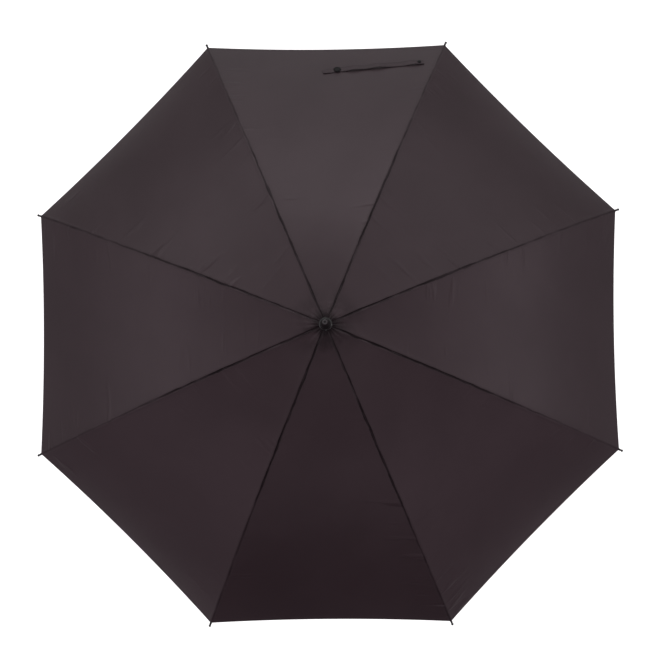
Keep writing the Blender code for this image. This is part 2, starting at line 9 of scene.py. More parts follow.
import bmesh
import bpy
import numpy as np
from mathutils import Matrix, Vector
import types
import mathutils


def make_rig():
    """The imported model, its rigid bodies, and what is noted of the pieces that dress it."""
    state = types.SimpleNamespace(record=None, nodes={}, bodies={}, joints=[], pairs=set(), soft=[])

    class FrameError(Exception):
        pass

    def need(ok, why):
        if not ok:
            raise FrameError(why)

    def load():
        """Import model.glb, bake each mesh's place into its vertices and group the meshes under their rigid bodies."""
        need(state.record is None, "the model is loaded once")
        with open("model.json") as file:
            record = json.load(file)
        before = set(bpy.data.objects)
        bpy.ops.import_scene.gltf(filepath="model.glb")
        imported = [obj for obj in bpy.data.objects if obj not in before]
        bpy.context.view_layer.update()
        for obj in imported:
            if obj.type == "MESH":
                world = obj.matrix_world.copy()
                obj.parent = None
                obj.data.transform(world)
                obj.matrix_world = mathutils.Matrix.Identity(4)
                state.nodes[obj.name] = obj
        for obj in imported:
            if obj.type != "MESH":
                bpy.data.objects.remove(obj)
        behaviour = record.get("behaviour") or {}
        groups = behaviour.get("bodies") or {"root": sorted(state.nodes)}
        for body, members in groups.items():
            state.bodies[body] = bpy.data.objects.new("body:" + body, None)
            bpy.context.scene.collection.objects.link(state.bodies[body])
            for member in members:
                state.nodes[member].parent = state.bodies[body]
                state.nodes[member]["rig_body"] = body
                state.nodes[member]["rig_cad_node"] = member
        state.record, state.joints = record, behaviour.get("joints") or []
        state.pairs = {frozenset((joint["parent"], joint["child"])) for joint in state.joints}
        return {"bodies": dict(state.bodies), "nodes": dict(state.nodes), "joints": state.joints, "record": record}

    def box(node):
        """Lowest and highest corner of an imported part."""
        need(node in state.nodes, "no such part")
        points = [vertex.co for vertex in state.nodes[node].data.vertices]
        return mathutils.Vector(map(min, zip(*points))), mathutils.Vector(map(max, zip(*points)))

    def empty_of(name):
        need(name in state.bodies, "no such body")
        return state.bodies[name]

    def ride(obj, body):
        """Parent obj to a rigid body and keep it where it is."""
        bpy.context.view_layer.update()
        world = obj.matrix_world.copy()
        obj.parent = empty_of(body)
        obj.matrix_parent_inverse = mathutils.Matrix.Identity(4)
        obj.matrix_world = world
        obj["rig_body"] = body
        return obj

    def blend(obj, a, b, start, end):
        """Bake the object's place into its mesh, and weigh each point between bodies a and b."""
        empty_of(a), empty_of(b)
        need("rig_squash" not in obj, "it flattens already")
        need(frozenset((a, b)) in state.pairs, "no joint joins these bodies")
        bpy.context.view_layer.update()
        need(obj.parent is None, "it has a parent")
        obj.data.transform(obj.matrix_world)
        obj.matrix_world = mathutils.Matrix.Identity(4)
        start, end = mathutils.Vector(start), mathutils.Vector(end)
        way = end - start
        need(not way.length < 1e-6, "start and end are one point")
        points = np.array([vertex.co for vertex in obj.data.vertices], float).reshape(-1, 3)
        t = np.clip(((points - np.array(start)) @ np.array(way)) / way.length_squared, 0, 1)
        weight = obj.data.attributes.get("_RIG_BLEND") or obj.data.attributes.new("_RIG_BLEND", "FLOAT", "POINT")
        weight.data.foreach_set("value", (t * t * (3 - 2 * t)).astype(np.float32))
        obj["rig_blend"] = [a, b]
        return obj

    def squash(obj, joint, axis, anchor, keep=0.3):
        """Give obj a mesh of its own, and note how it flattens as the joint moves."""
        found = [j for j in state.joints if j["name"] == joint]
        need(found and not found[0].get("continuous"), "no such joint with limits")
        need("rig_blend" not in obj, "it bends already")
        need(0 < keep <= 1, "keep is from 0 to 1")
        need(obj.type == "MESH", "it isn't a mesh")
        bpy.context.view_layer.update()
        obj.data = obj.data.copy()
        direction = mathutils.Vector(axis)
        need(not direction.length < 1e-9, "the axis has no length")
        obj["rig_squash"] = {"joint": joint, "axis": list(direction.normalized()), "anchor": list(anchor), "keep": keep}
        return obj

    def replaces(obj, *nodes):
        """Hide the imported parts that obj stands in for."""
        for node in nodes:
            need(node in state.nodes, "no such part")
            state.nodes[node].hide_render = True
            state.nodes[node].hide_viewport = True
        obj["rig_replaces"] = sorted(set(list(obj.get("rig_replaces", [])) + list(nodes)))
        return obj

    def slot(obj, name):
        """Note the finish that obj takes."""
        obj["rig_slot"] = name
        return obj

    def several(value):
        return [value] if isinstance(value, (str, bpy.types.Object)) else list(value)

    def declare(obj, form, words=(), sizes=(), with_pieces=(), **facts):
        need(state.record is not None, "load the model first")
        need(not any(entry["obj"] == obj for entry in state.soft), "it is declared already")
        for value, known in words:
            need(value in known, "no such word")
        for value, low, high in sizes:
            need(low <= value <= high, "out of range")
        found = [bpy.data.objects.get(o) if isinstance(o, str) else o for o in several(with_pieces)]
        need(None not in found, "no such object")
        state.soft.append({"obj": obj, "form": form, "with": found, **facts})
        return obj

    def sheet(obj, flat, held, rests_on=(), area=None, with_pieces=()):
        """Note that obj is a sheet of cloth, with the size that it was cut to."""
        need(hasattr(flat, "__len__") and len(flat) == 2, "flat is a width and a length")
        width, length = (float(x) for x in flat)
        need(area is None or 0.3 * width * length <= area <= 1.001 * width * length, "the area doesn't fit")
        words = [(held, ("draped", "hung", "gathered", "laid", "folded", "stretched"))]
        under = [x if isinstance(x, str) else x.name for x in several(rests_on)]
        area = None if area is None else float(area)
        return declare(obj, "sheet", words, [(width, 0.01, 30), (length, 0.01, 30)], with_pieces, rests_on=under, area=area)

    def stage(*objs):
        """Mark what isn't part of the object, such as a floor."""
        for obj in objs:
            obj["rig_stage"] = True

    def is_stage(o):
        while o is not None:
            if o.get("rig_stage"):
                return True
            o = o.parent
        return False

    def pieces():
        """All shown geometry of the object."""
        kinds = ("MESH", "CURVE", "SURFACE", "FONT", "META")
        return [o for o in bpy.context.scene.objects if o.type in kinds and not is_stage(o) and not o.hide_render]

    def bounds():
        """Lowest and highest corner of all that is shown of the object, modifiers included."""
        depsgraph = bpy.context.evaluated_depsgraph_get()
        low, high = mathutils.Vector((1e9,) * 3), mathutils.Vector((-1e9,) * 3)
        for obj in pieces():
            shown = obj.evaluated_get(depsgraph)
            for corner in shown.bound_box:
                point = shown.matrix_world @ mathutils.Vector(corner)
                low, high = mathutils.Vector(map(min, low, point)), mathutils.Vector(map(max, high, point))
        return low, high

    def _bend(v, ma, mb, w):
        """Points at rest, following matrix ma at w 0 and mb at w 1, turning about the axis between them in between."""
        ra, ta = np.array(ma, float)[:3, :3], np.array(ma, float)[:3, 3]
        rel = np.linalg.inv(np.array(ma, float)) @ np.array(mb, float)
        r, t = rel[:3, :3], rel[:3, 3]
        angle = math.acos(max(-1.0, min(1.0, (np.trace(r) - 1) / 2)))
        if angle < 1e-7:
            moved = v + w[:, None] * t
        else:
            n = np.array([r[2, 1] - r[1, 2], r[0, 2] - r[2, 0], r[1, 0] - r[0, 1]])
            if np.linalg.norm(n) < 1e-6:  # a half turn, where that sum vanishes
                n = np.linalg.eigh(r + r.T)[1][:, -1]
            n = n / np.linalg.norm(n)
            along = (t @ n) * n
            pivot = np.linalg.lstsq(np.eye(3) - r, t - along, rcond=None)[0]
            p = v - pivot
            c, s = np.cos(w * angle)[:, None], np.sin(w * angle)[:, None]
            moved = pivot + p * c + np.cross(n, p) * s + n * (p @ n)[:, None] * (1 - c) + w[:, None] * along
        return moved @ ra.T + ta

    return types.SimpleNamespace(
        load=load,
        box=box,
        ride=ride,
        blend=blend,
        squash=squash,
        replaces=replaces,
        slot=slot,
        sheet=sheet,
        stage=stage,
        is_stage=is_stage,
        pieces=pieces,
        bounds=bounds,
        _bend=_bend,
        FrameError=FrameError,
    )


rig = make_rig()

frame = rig.load()
CAD_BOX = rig.bounds()

# The frame's own sizes
RIBS = 8
FIRST_RIB = math.radians(22.5)
SPACING = 2 * math.pi / RIBS
NOTCH_Z = 0.930
PIVOT_RADIUS = 0.0125
RIB_LENGTH = 0.730
ROOT_SLOPE = math.radians(5.0)
BEND = math.radians(44.0) / RIB_LENGTH
FLEX_AT = 0.364
CLOTH_START = -0.0025
CLOTH_END = RIB_LENGTH - 0.014
ROD_RADIUS = 0.0014

# The cloth
LIFT = 0.0035  # of the cloth over the rib's middle
CROWN_LIFT = 0.0036  # more of it at the crown, and the distance in which that fades
CROWN_FADE = 0.045
SAG = 0.0050  # in the middle of a gore, at the hem
SCALLOP = 0.0040  # how far the hem curves in between two tips
SEAM_DIP = 0.0010  # the groove along a seam, and its half width
SEAM_GROOVE = 0.0015
WAVE = 0.0007  # a slow wave along each gore
GATHER = 0.0004  # the gathers at the crown, and the distance in which they fade
GATHER_FADE = 0.024
SEAM_FOLD = 0.007  # the widths of what is folded under, and how deep it lies
HEM_FOLD = 0.010
FOLD_DEPTH = -0.0007
UNDER_SEAM = 0.02  # distance from its seam that is given to what is folded under, clear of the seam's colours
SEAM_STITCHES = 0.0048  # from the seam and from the hem to the rows of stitches
HEM_STITCHES = 0.0082
TUCK = 0.013  # how far an upper cut runs on under the lower one, and less at the seams, clear of the rods
SEAM_TUCK = 0.0045
TUCK_START = -0.004  # from the cut's edge to where the tuck begins
TUCK_DEPTHS = (-0.0006, -0.0009, -0.0012)  # of its three rows
COLUMNS = 49
UPPER_ROWS = 34
LOWER_ROWS = 36
TOP_WIDTH = 0.29  # of the blanks that the cuts are made from, and their length
HEM_WIDTH = 0.53
BLANK_LENGTH = 0.38


# ---------------------------------------------------------------- shader nodes
def shader_node(tree, kind, **settings):
    made = tree.nodes.new("ShaderNode" + kind)
    for key, value in settings.items():
        setattr(made, key, value)
    return made


class Finish:
    """A material that is being put together from nodes."""

    def __init__(self, name, colour, roughness):
        self.material = bpy.data.materials.new(name)
        self.material.use_nodes = True
        self.tree = self.material.node_tree
        self.shader = self.tree.nodes["Principled BSDF"]
        self.set("Base Color", (*colour, 1.0))
        self.set("Roughness", roughness)
        self.relief = None

    def set(self, socket, value):
        self.shader.inputs[socket].default_value = value

    def put(self, kind, inputs, **settings):
        made = shader_node(self.tree, kind, **settings)
        for key, value in inputs.items():
            if isinstance(value, bpy.types.NodeSocket):
                self.tree.links.new(value, made.inputs[key])
            else:
                made.inputs[key].default_value = value
        return made

    def math(self, operation, first, second=0.0):
        return self.put("Math", {0: first, 1: second}, operation=operation).outputs[0]

    def times(self, first, second):
        return self.math("MULTIPLY", first, second)

    def larger(self, first, second):
        return self.math("MAXIMUM", first, second)

    def uv(self, name):
        """(first, second) coordinate of a UV map."""
        split = self.put("SeparateXYZ", {0: self.put("UVMap", {}, uv_map=name).outputs[0]})
        return split.outputs[0], split.outputs[1]

    def place(self, scale=(1, 1, 1)):
        """The object's own coordinates, scaled."""
        source = self.put("TexCoord", {}).outputs["Object"]
        return self.put("Mapping", {"Vector": source, "Scale": scale}).outputs[0]

    def vector(self, x, y):
        return self.put("CombineXYZ", {0: x, 1: y}).outputs[0]

    def noise(self, where, scale, detail, roughness=0.5):
        inputs = {"Vector": where, "Scale": scale, "Detail": detail, "Roughness": roughness}
        return self.put("TexNoise", inputs).outputs["Fac"]

    def ramp(self, value, low, high, to_low=0.0, to_high=1.0):
        """A smooth step from to_low at low to to_high at high."""
        inputs = {"Value": value, "From Min": low, "From Max": high, "To Min": to_low, "To Max": to_high}
        return self.put("MapRange", inputs, interpolation_type="SMOOTHSTEP").outputs[0]

    def bump(self, height, distance, strength):
        """One more layer of relief over what is there already."""
        inputs = {"Height": height, "Distance": distance, "Strength": strength}
        if self.relief is not None:
            inputs["Normal"] = self.relief
        self.relief = self.put("Bump", inputs).outputs[0]
        self.link(self.relief, "Normal")

    def blend_colour(self, factor, first, second):
        """The base colour, from first at factor 0 to second at factor 1."""
        made = shader_node(self.tree, "Mix", data_type="RGBA")
        self.tree.links.new(factor, made.inputs["Factor"])
        for socket, value in (("A", first), ("B", second)):
            target = next(i for i in made.inputs if i.name == socket and i.type == "RGBA")
            if isinstance(value, bpy.types.NodeSocket):
                self.tree.links.new(value, target)
            else:
                target.default_value = (*value, 1.0)
        result = next(o for o in made.outputs if o.type == "RGBA")
        self.link(result, "Base Color")
        return result

    def link(self, value, socket):
        self.tree.links.new(value, self.shader.inputs[socket])


def weave(finish, u, v, pitch, depth):
    """Threads over and under each other: u and v are metres along them."""
    per_metre = 2 * math.pi / pitch
    over = finish.math("SINE", finish.times(u, per_metre))
    under = finish.math("SINE", finish.times(v, per_metre))
    finish.bump(finish.times(over, under), depth, 0.5)


def stitch_line(finish, across, along, place, width, pitch):
    """1 on the threads of a line of stitches at a distance across, 0 elsewhere."""
    off = finish.math("ABSOLUTE", finish.math("SUBTRACT", across, place))
    line = finish.ramp(off, width * 0.3, width, 1.0, 0.0)
    step = finish.math("SINE", finish.times(along, 2 * math.pi / pitch))
    return finish.times(line, finish.ramp(step, -0.75, -0.35))


def dyed_cloth(name, colour, roughness, sheen, sheen_roughness):
    """Black cloth whose shine and sheen are a little red."""
    made = Finish(name, colour, roughness)
    made.set("Sheen Weight", sheen)
    made.set("Sheen Roughness", sheen_roughness)
    made.set("Sheen Tint", (0.90, 0.78, 0.84, 1.0))
    made.set("Specular Tint", (1.0, 0.88, 0.93, 1.0))
    return made


def pongee():
    """Black canopy cloth: fine plain weave, seams, hem stitches and soft tension creases."""
    made = dyed_cloth("pongee_cloth", (0.046, 0.038, 0.041), 0.44, 0.06, 0.45)
    along, across = made.uv("cloth")
    seam, hem = made.uv("edge")
    cloth = made.vector(along, across)
    hem_row = stitch_line(made, hem, across, HEM_STITCHES, 0.0006, 0.0032)
    seam_row = stitch_line(made, seam, along, SEAM_STITCHES, 0.0005, 0.0030)
    rows = made.larger(hem_row, seam_row)
    paint_pongee(made, cloth, along, across, seam, hem, rows)
    made.link(made.ramp(made.noise(cloth, 9.0, 3.0), 0.3, 0.7, 0.30, 0.36), "Roughness")

    # relief: creases and puckers at the seams, crumples at the crown, the hem's edge, stitches and threads
    stretched = made.vector(made.times(along, 42.0), made.times(across, 9.0))
    crease = made.ramp(made.noise(stretched, 1.0, 2.0, 0.4), 0.57, 0.84)
    crease = made.times(crease, made.ramp(along, 0.09, 0.19))
    near_seam = made.ramp(seam, 0.004, 0.100, 1.0, 0.0)
    made.bump(made.times(crease, near_seam), 0.0025, 0.65)
    crumple = made.times(made.noise(cloth, 75.0, 3.0), made.ramp(along, 0.0, 0.06, 1.0, 0.0))
    made.bump(crumple, 0.0022, 0.7)
    gathered = made.vector(made.times(along, 120.0), made.times(across, 30.0))
    pucker = made.times(made.noise(gathered, 1.0, 2.0), made.ramp(seam, 0.0015, 0.012, 1.0, 0.0))
    made.bump(pucker, 0.0008, 0.5)
    made.bump(made.noise(cloth, 14.0, 2.0), 0.0012, 0.4)
    made.bump(made.ramp(hem, 0.0086, 0.0094, 1.0, 0.0), 0.0004, 0.8)
    made.bump(rows, 0.0003, 0.8)
    weave(made, along, across, 0.0011, 0.00006)
    return made.material


def paint_pongee(made, cloth, along, across, seam, hem, rows):
    """The canopy's colour: dyed cloth, with painted shade in the seams' grooves and round the crown, where it is
    gathered.
    """
    mottle = made.ramp(made.noise(cloth, 5.0, 4.0, 0.6), 0.35, 0.65)
    base = made.blend_colour(mottle, (0.038, 0.0240, 0.0285), (0.044, 0.0285, 0.0335))

    def off_middle(scale, detail, reach):
        return made.times(made.math("SUBTRACT", made.noise(cloth, scale, detail), 0.5), reach)

    # painted shade round the crown, under the cap and among its gathers: the base colour darkened there in patches
    crown_shade = made.ramp(made.noise(cloth, 24.0, 3.0), 0.25, 0.7)
    crown_shade = made.times(crown_shade, made.ramp(along, 0.0, 0.085, 0.85, 0.0))
    base = made.blend_colour(crown_shade, base, (0.009, 0.0055, 0.0065))

    # painted shade in the seams' grooves, weaker toward the hem, and on the cloth just under the cap: the base colour
    # darkened there
    wander = made.math("ADD", off_middle(170.0, 2.0, 0.0012), off_middle(26.0, 1.0, 0.0046))
    line = made.math("ADD", made.math("ADD", seam, wander), made.ramp(along, 0.2, 0.6, 0.0, 0.0010))
    groove = made.ramp(line, 0.0010, 0.0036, 0.95, 0.0)
    groove_and_cap_shade = made.larger(groove, made.ramp(along, 0.002, 0.020, 0.8, 0.0))
    fade = made.ramp(along, 0.25, 0.66, 1.0, 0.55)
    uneven = made.ramp(made.noise(cloth, 6.0, 2.0), 0.38, 0.58, 0.68, 1.0)
    dark = made.times(groove_and_cap_shade, made.times(fade, uneven))
    base = made.blend_colour(dark, base, (0.0030, 0.0016, 0.0020))
    # painted shade: the seams' grooves and the crown, painted dark, also lose their shine through Metallic on a
    # near-black base colour
    shaded = made.larger(made.times(dark, 0.75), made.times(crown_shade, 0.35))
    made.link(shaded, "Metallic")  # a black metal takes no shine, like the bottom of a seam's groove

    # a lighter line of thread down the middle of each seam, in patches; it also stands in for the thin painted
    # highlight along the seams
    patchy = made.noise(made.vector(made.times(along, 26.0), across), 1.0, 1.0)
    thread = made.ramp(made.math("ABSOLUTE", seam), 0.0003, 0.0011, 0.8, 0.0)
    thread = made.times(thread, made.ramp(patchy, 0.52, 0.62))
    base = made.blend_colour(thread, base, (0.052, 0.042, 0.047))
    edge = made.ramp(hem, 0.0, 0.0030, 0.60, 0.0)
    base = made.blend_colour(edge, base, (0.006, 0.005, 0.006))
    made.blend_colour(made.times(rows, 0.7), base, (0.012, 0.009, 0.011))


def webbing():
    """The strap: two layers of canopy cloth, topstitched along both edges."""
    made = dyed_cloth("strap_cloth", (0.036, 0.028, 0.031), 0.46, 0.05, 0.5)
    along, across = made.uv("cloth")
    rows = stitch_line(made, made.math("ABSOLUTE", across), along, 0.0050, 0.0006, 0.0028)
    shade = made.ramp(made.noise(made.vector(along, across), 60.0, 3.0), 0.3, 0.7)
    base = made.blend_colour(shade, (0.034, 0.0225, 0.0265), (0.042, 0.0285, 0.0330))
    made.blend_colour(rows, base, (0.016, 0.013, 0.015))
    made.bump(rows, 0.0003, 0.9)
    made.bump(made.noise(made.vector(along, across), 220.0, 2.0), 0.0004, 0.5)
    weave(made, along, across, 0.0009, 0.00008)
    return made.material


def moulding(name, colour, roughness, grain, shine=0.5):
    """Satin moulded plastic with a faint spark-eroded grain and rubbed edges."""
    made = Finish(name, colour, roughness)
    made.set("Specular IOR Level", shine)
    where = made.place()
    rough = made.ramp(made.noise(where, 120.0, 4.0), 0.3, 0.7, roughness - 0.05, roughness + 0.08)
    made.link(rough, "Roughness")
    worn = made.ramp(made.put("NewGeometry", {}).outputs["Pointiness"], 0.52, 0.60)
    scuff = made.times(worn, made.ramp(made.noise(where, 300.0, 3.0), 0.4, 0.7))
    lighter = tuple(c * 2.6 + 0.01 for c in colour)
    made.blend_colour(scuff, colour, lighter)
    made.bump(made.noise(where, grain, 2.0), 0.00006, 0.5)
    return made.material


def spike_with_painted_highlight():
    """The ferrule's plastic, paler and rougher round its tip, the end it stands on: a painted highlight, the bright
    ring at the tip.
    """
    made = Finish("spike_moulding", (0.013, 0.012, 0.013), 0.34)
    height = made.put("SeparateXYZ", {0: made.put("TexCoord", {}).outputs["Object"]}).outputs[2]
    where = made.place()
    level = made.math("ADD", height, made.times(made.noise(where, 400.0, 3.0), 0.003))
    # painted highlight: the plastic is painted paler round the tip
    rubbed = made.ramp(level, 1.0125, 1.0165)
    made.blend_colour(rubbed, (0.012, 0.011, 0.012), (0.062, 0.057, 0.060))
    made.link(made.ramp(rubbed, 0.0, 1.0, 0.34, 0.62), "Roughness")
    made.bump(made.noise(where, 1400.0, 2.0), 0.00008, 0.6)
    return made.material


def enamel():
    """Black enamelled steel: orange peel, hair scratches along it, and grey where its edges rub."""
    made = Finish("black_enamel", (0.016, 0.016, 0.018), 0.3)
    made.set("Coat Weight", 0.4)
    made.set("Coat Roughness", 0.15)
    where = made.place()
    tone = made.ramp(made.noise(where, 18.0, 4.0), 0.3, 0.7)
    base = made.blend_colour(tone, (0.014, 0.014, 0.015), (0.020, 0.020, 0.022))
    scratches = made.ramp(made.noise(made.place((900.0, 900.0, 9.0)), 1.0, 2.0), 0.66, 0.72, 0.0, 0.30)
    base = made.blend_colour(scratches, base, (0.055, 0.055, 0.058))
    worn = made.ramp(made.put("NewGeometry", {}).outputs["Pointiness"], 0.66, 0.80)
    scuff = made.times(worn, made.ramp(made.noise(where, 220.0, 3.0), 0.45, 0.65))
    made.blend_colour(scuff, base, (0.16, 0.16, 0.17))
    made.link(made.ramp(made.noise(where, 35.0, 4.0), 0.3, 0.7, 0.24, 0.42), "Roughness")
    made.bump(scratches, 0.00003, 0.4)
    made.bump(made.noise(where, 900.0, 2.0), 0.00003, 0.5)
    return made.material


def fibreglass():
    """A drawn glass-fibre rod: fine lines along it under a satin resin skin."""
    made = Finish("drawn_fibreglass", (0.014, 0.014, 0.015), 0.36)
    along, across = made.uv("cloth")
    strands = made.vector(made.times(along, 12.0), made.times(across, 2600.0))
    line = made.noise(strands, 1.0, 3.0)
    made.blend_colour(made.ramp(line, 0.35, 0.75), (0.011, 0.011, 0.012), (0.030, 0.030, 0.031))
    made.bump(line, 0.00003, 0.6)
    return made.material


def foam():
    """Closed-cell handle foam: a fine pebbled skin with scattered open cells."""
    made = Finish("grip_foam", (0.020, 0.020, 0.021), 0.86)
    made.set("Specular IOR Level", 0.3)
    where = made.place()
    cells = made.put("TexVoronoi", {"Vector": where, "Scale": 900.0}).outputs["Distance"]
    pores = made.put("TexVoronoi", {"Vector": where, "Scale": 330.0}).outputs["Distance"]
    pores = made.ramp(pores, 0.05, 0.22)
    tone = made.ramp(made.noise(where, 30.0, 4.0), 0.3, 0.7)
    base = made.blend_colour(tone, (0.017, 0.017, 0.018), (0.026, 0.026, 0.027))
    made.blend_colour(pores, (0.006, 0.006, 0.006), base)
    made.bump(cells, 0.00012, 0.6)
    made.bump(pores, 0.00025, 0.5)
    made.bump(made.noise(where, 18.0, 2.0), 0.0006, 0.4)
    return made.material


# ---------------------------------------------------------------- meshes
def piece(name, points, faces, finish):
    """A smooth mesh object."""
    mesh = bpy.data.meshes.new(name)
    mesh.from_pydata([tuple(p) for p in points], [], faces)
    made = bpy.data.objects.new(name, mesh)
    bpy.context.scene.collection.objects.link(made)
    mesh.materials.append(finish)
    mesh.shade_smooth()
    return made


def face_out(made, merge=False):
    """Faces turned outward, after points in the same place are merged where asked."""
    shape = bmesh.new()
    shape.from_mesh(made.data)
    if merge:
        bmesh.ops.remove_doubles(shape, verts=shape.verts, dist=1e-6)
    bmesh.ops.recalc_face_normals(shape, faces=shape.faces)
    shape.to_mesh(made.data)
    shape.free()
    made.data.shade_smooth()
    return made


def paint_uv(made, name, coordinates):
    """A UV map from one (u, v) for each vertex."""
    layer = made.data.uv_layers.new(name=name)
    corners = np.empty(len(made.data.loops), np.int32)
    made.data.loops.foreach_get("vertex_index", corners)
    layer.data.foreach_set("uv", np.asarray(coordinates, np.float32)[corners].ravel())


def turned(name, profile, finish, sides):
    """A closed profile of (radius, height) points turned about the shaft's axis."""
    points = []
    faces = []
    count = len(profile)
    for side in range(sides):
        a = 2 * math.pi * side / sides
        points += [(r * math.cos(a), r * math.sin(a), z) for r, z in profile]
    for side in range(sides):
        near, far = side * count, (side + 1) % sides * count
        for i in range(count):
            j = (i + 1) % count
            faces.append((near + i, far + i, far + j, near + j))
    made = face_out(piece(name, points, faces, finish), merge=True)
    made.data.set_sharp_from_angle(angle=math.radians(35))
    return made


def arc(centre, radius, start, end, count):
    """Points of a profile on an arc, from start to end in degrees."""
    angles = [math.radians(start + (end - start) * i / (count - 1)) for i in range(count)]
    return [(centre[0] + radius * math.cos(a), centre[1] + radius * math.sin(a)) for a in angles]


def rounded(profile, radius):
    """A closed profile with its corners off the axis rounded."""
    steps = 3
    result = []
    count = len(profile)
    for i, corner in enumerate(profile):
        here = Vector(corner)
        before, after = Vector(profile[i - 1]), Vector(profile[(i + 1) % count])
        to_before, to_after = before - here, after - here
        reach = min(radius, to_before.length * 0.4, to_after.length * 0.4)
        if here.x < 1e-6 or reach < 1e-5:
            result.append(corner)
            continue
        start, end = here + to_before.normalized() * reach, here + to_after.normalized() * reach
        for step in range(steps + 1):
            t = step / steps
            point = start.lerp(here, t).lerp(here.lerp(end, t), t)
            result.append((point.x, point.y))
    return result


# ---------------------------------------------------------------- the rib's curve and the cloth
def slope(along):
    return ROOT_SLOPE + BEND * along


def rib_point(along, lift=0.0):
    """(distance from the shaft's axis, height) of points on a rib's middle, or lifted square to it."""
    angle = slope(along)
    out = PIVOT_RADIUS + (np.sin(angle) - math.sin(ROOT_SLOPE)) / BEND
    height = NOTCH_Z + (np.cos(angle) - math.cos(ROOT_SLOPE)) / BEND
    return out + lift * np.sin(angle), height + lift * np.cos(angle)


def rib_angle(number):
    return FIRST_RIB + (number - 1) * SPACING


def turn(points, angle):
    """Points turned about the shaft's axis."""
    x, y, z = points[..., 0], points[..., 1], points[..., 2]
    c, s = math.cos(angle), math.sin(angle)
    return np.stack([x * c - y * s, x * s + y * c, z], -1)


def cloth_place(along, share, number, height=0.0):
    """Points of a gore, in the frame of its first rib. Share runs from 0 at that rib to 1 at the next."""
    along, share = np.broadcast_arrays(np.asarray(along, float), np.asarray(share, float))
    lift = LIFT + CROWN_LIFT * np.exp((CLOTH_START - along) / CROWN_FADE)
    out, up = rib_point(along, lift)
    gap = 2 * out * math.sin(SPACING / 2)
    seam = np.minimum(share, 1 - share) * gap
    bow = 4 * share * (1 - share)
    part = np.clip(along, 0, None) / CLOTH_END
    wave = WAVE * np.sin(9 * along + 2.1 * number) * np.sin(math.pi * share)
    shallower = np.clip(1.2 - part, 0.3, 1)  # toward the hem
    dip = SEAM_DIP * np.exp(-((seam / SEAM_GROOVE) ** 2)) * shallower
    gather = GATHER * np.sin(6 * math.pi * share + 1.7 * number) * bow
    gather *= np.exp(-np.clip(along, 0, None) / GATHER_FADE)
    drop = SAG * bow * part + dip - gather - wave - height
    angle = slope(along)
    middle = SPACING / 2
    level = [out * (1 - share + share * math.cos(SPACING)), out * share * math.sin(SPACING), up]
    normal = [np.sin(angle) * math.cos(middle), np.sin(angle) * math.sin(middle), np.cos(angle)]
    flat, normal = np.stack(level, -1), np.stack(normal, -1)
    return flat - drop[..., None] * normal


def hem_at(share):
    """Distance along the cloth at which it is hemmed."""
    return CLOTH_END - SCALLOP * 4 * share * (1 - share)


def folded(number, outer):
    """Where the hinges take a rib (or its rod) when the umbrella is folded, as a 4x4 matrix."""
    joints = {j["name"]: j for j in frame["joints"]}
    fold = joints["rib_1_fold"]["range_deg"][1]
    couplings = {c["joint"]: c["ratio"] for c in frame["record"]["behaviour"]["couplings"]}

    def turned_by(name, degrees):
        joint = joints[name]
        pivot = Vector(joint["pos_m"])
        spin = Matrix.Rotation(math.radians(degrees), 4, Vector(joint["axis"]))
        return Matrix.Translation(pivot) @ spin @ Matrix.Translation(-pivot)

    place = turned_by(f"rib_{number}_fold", fold)
    if outer:
        name = f"rod_{number}_flex"
        place = place @ turned_by(name, fold * couplings[name])
    return place


def split_line(shares):
    """Distances along the cloth, one for each share, where its two cuts stay together as they fold."""
    one, two = folded(1, False), folded(2, False)
    rod_one, rod_two = folded(1, True), folded(2, True)
    tries = np.linspace(FLEX_AT - 0.05, FLEX_AT + 0.05, 401)
    result = []
    for share in shares:
        spots = turn(cloth_place(tries, share, 1), rib_angle(1))
        weight = np.full(len(tries), share)
        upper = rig._bend(spots, one, two, weight)
        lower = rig._bend(spots, rod_one, rod_two, weight)
        result.append(tries[np.argmin(np.linalg.norm(upper - lower, axis=1))])
    return np.array(result)


def gore_columns():
    """Shares across a gore, closer together at its seams."""
    t = np.linspace(0, 1, COLUMNS)
    return t - 0.93 * np.sin(2 * math.pi * t) / (2 * math.pi)


def tuck_rows(edge, shares):
    """Three rows of an upper cut's tuck: their distances along the cloth and depths under the lower cut."""
    nearest = np.minimum(shares, 1 - shares)
    reach = SEAM_TUCK + (TUCK - SEAM_TUCK) * np.clip(nearest / 0.10, 0, 1)
    rows = edge + np.stack([np.full_like(reach, TUCK_START), reach * 0.4, reach])
    depth = np.array(TUCK_DEPTHS)[:, None] * np.clip(nearest / 0.03, 0.15, 1)
    return rows, depth


def flanked(left, middle, right):
    """A grid with one more column at each side."""
    return np.concatenate([left, middle, right], 1)


def cloth_grid(rows, shares, number, height):
    """A cut's points with a column folded under at each side, and what the paint and the bend need of each.

    along and lateral are its place on the flat cloth, seam and hem its distances from them, weight its share.
    """
    share = np.broadcast_to(shares, rows.shape)
    out, _ = rib_point(rows, LIFT)
    gap = 2 * out * math.sin(SPACING / 2)
    fold = np.minimum(SEAM_FOLD / gap, 0.45)
    under = FOLD_DEPTH + height[:, 0]
    left = cloth_place(rows[:, 0], fold[:, 0], number, under)
    right = cloth_place(rows[:, -1], 1 - fold[:, -1], number, under)
    level = cloth_place(rows, share, number, height)
    start, end = rows[:, :1], rows[:, -1:]
    zero = np.zeros_like(start)
    return {
        "spots": flanked(left[:, None], level, right[:, None]),
        "along": flanked(start, rows, end),
        "lateral": flanked(-fold[:, :1] * gap[:, :1], share * gap, (1 + fold[:, -1:]) * gap[:, -1:]),
        "seam": flanked(zero + UNDER_SEAM, np.minimum(share, 1 - share) * gap, zero + UNDER_SEAM),
        "hem": flanked(hem_at(0) - start, hem_at(share) - rows, hem_at(0) - end),
        "weight": flanked(zero, share, zero + 1),
    }


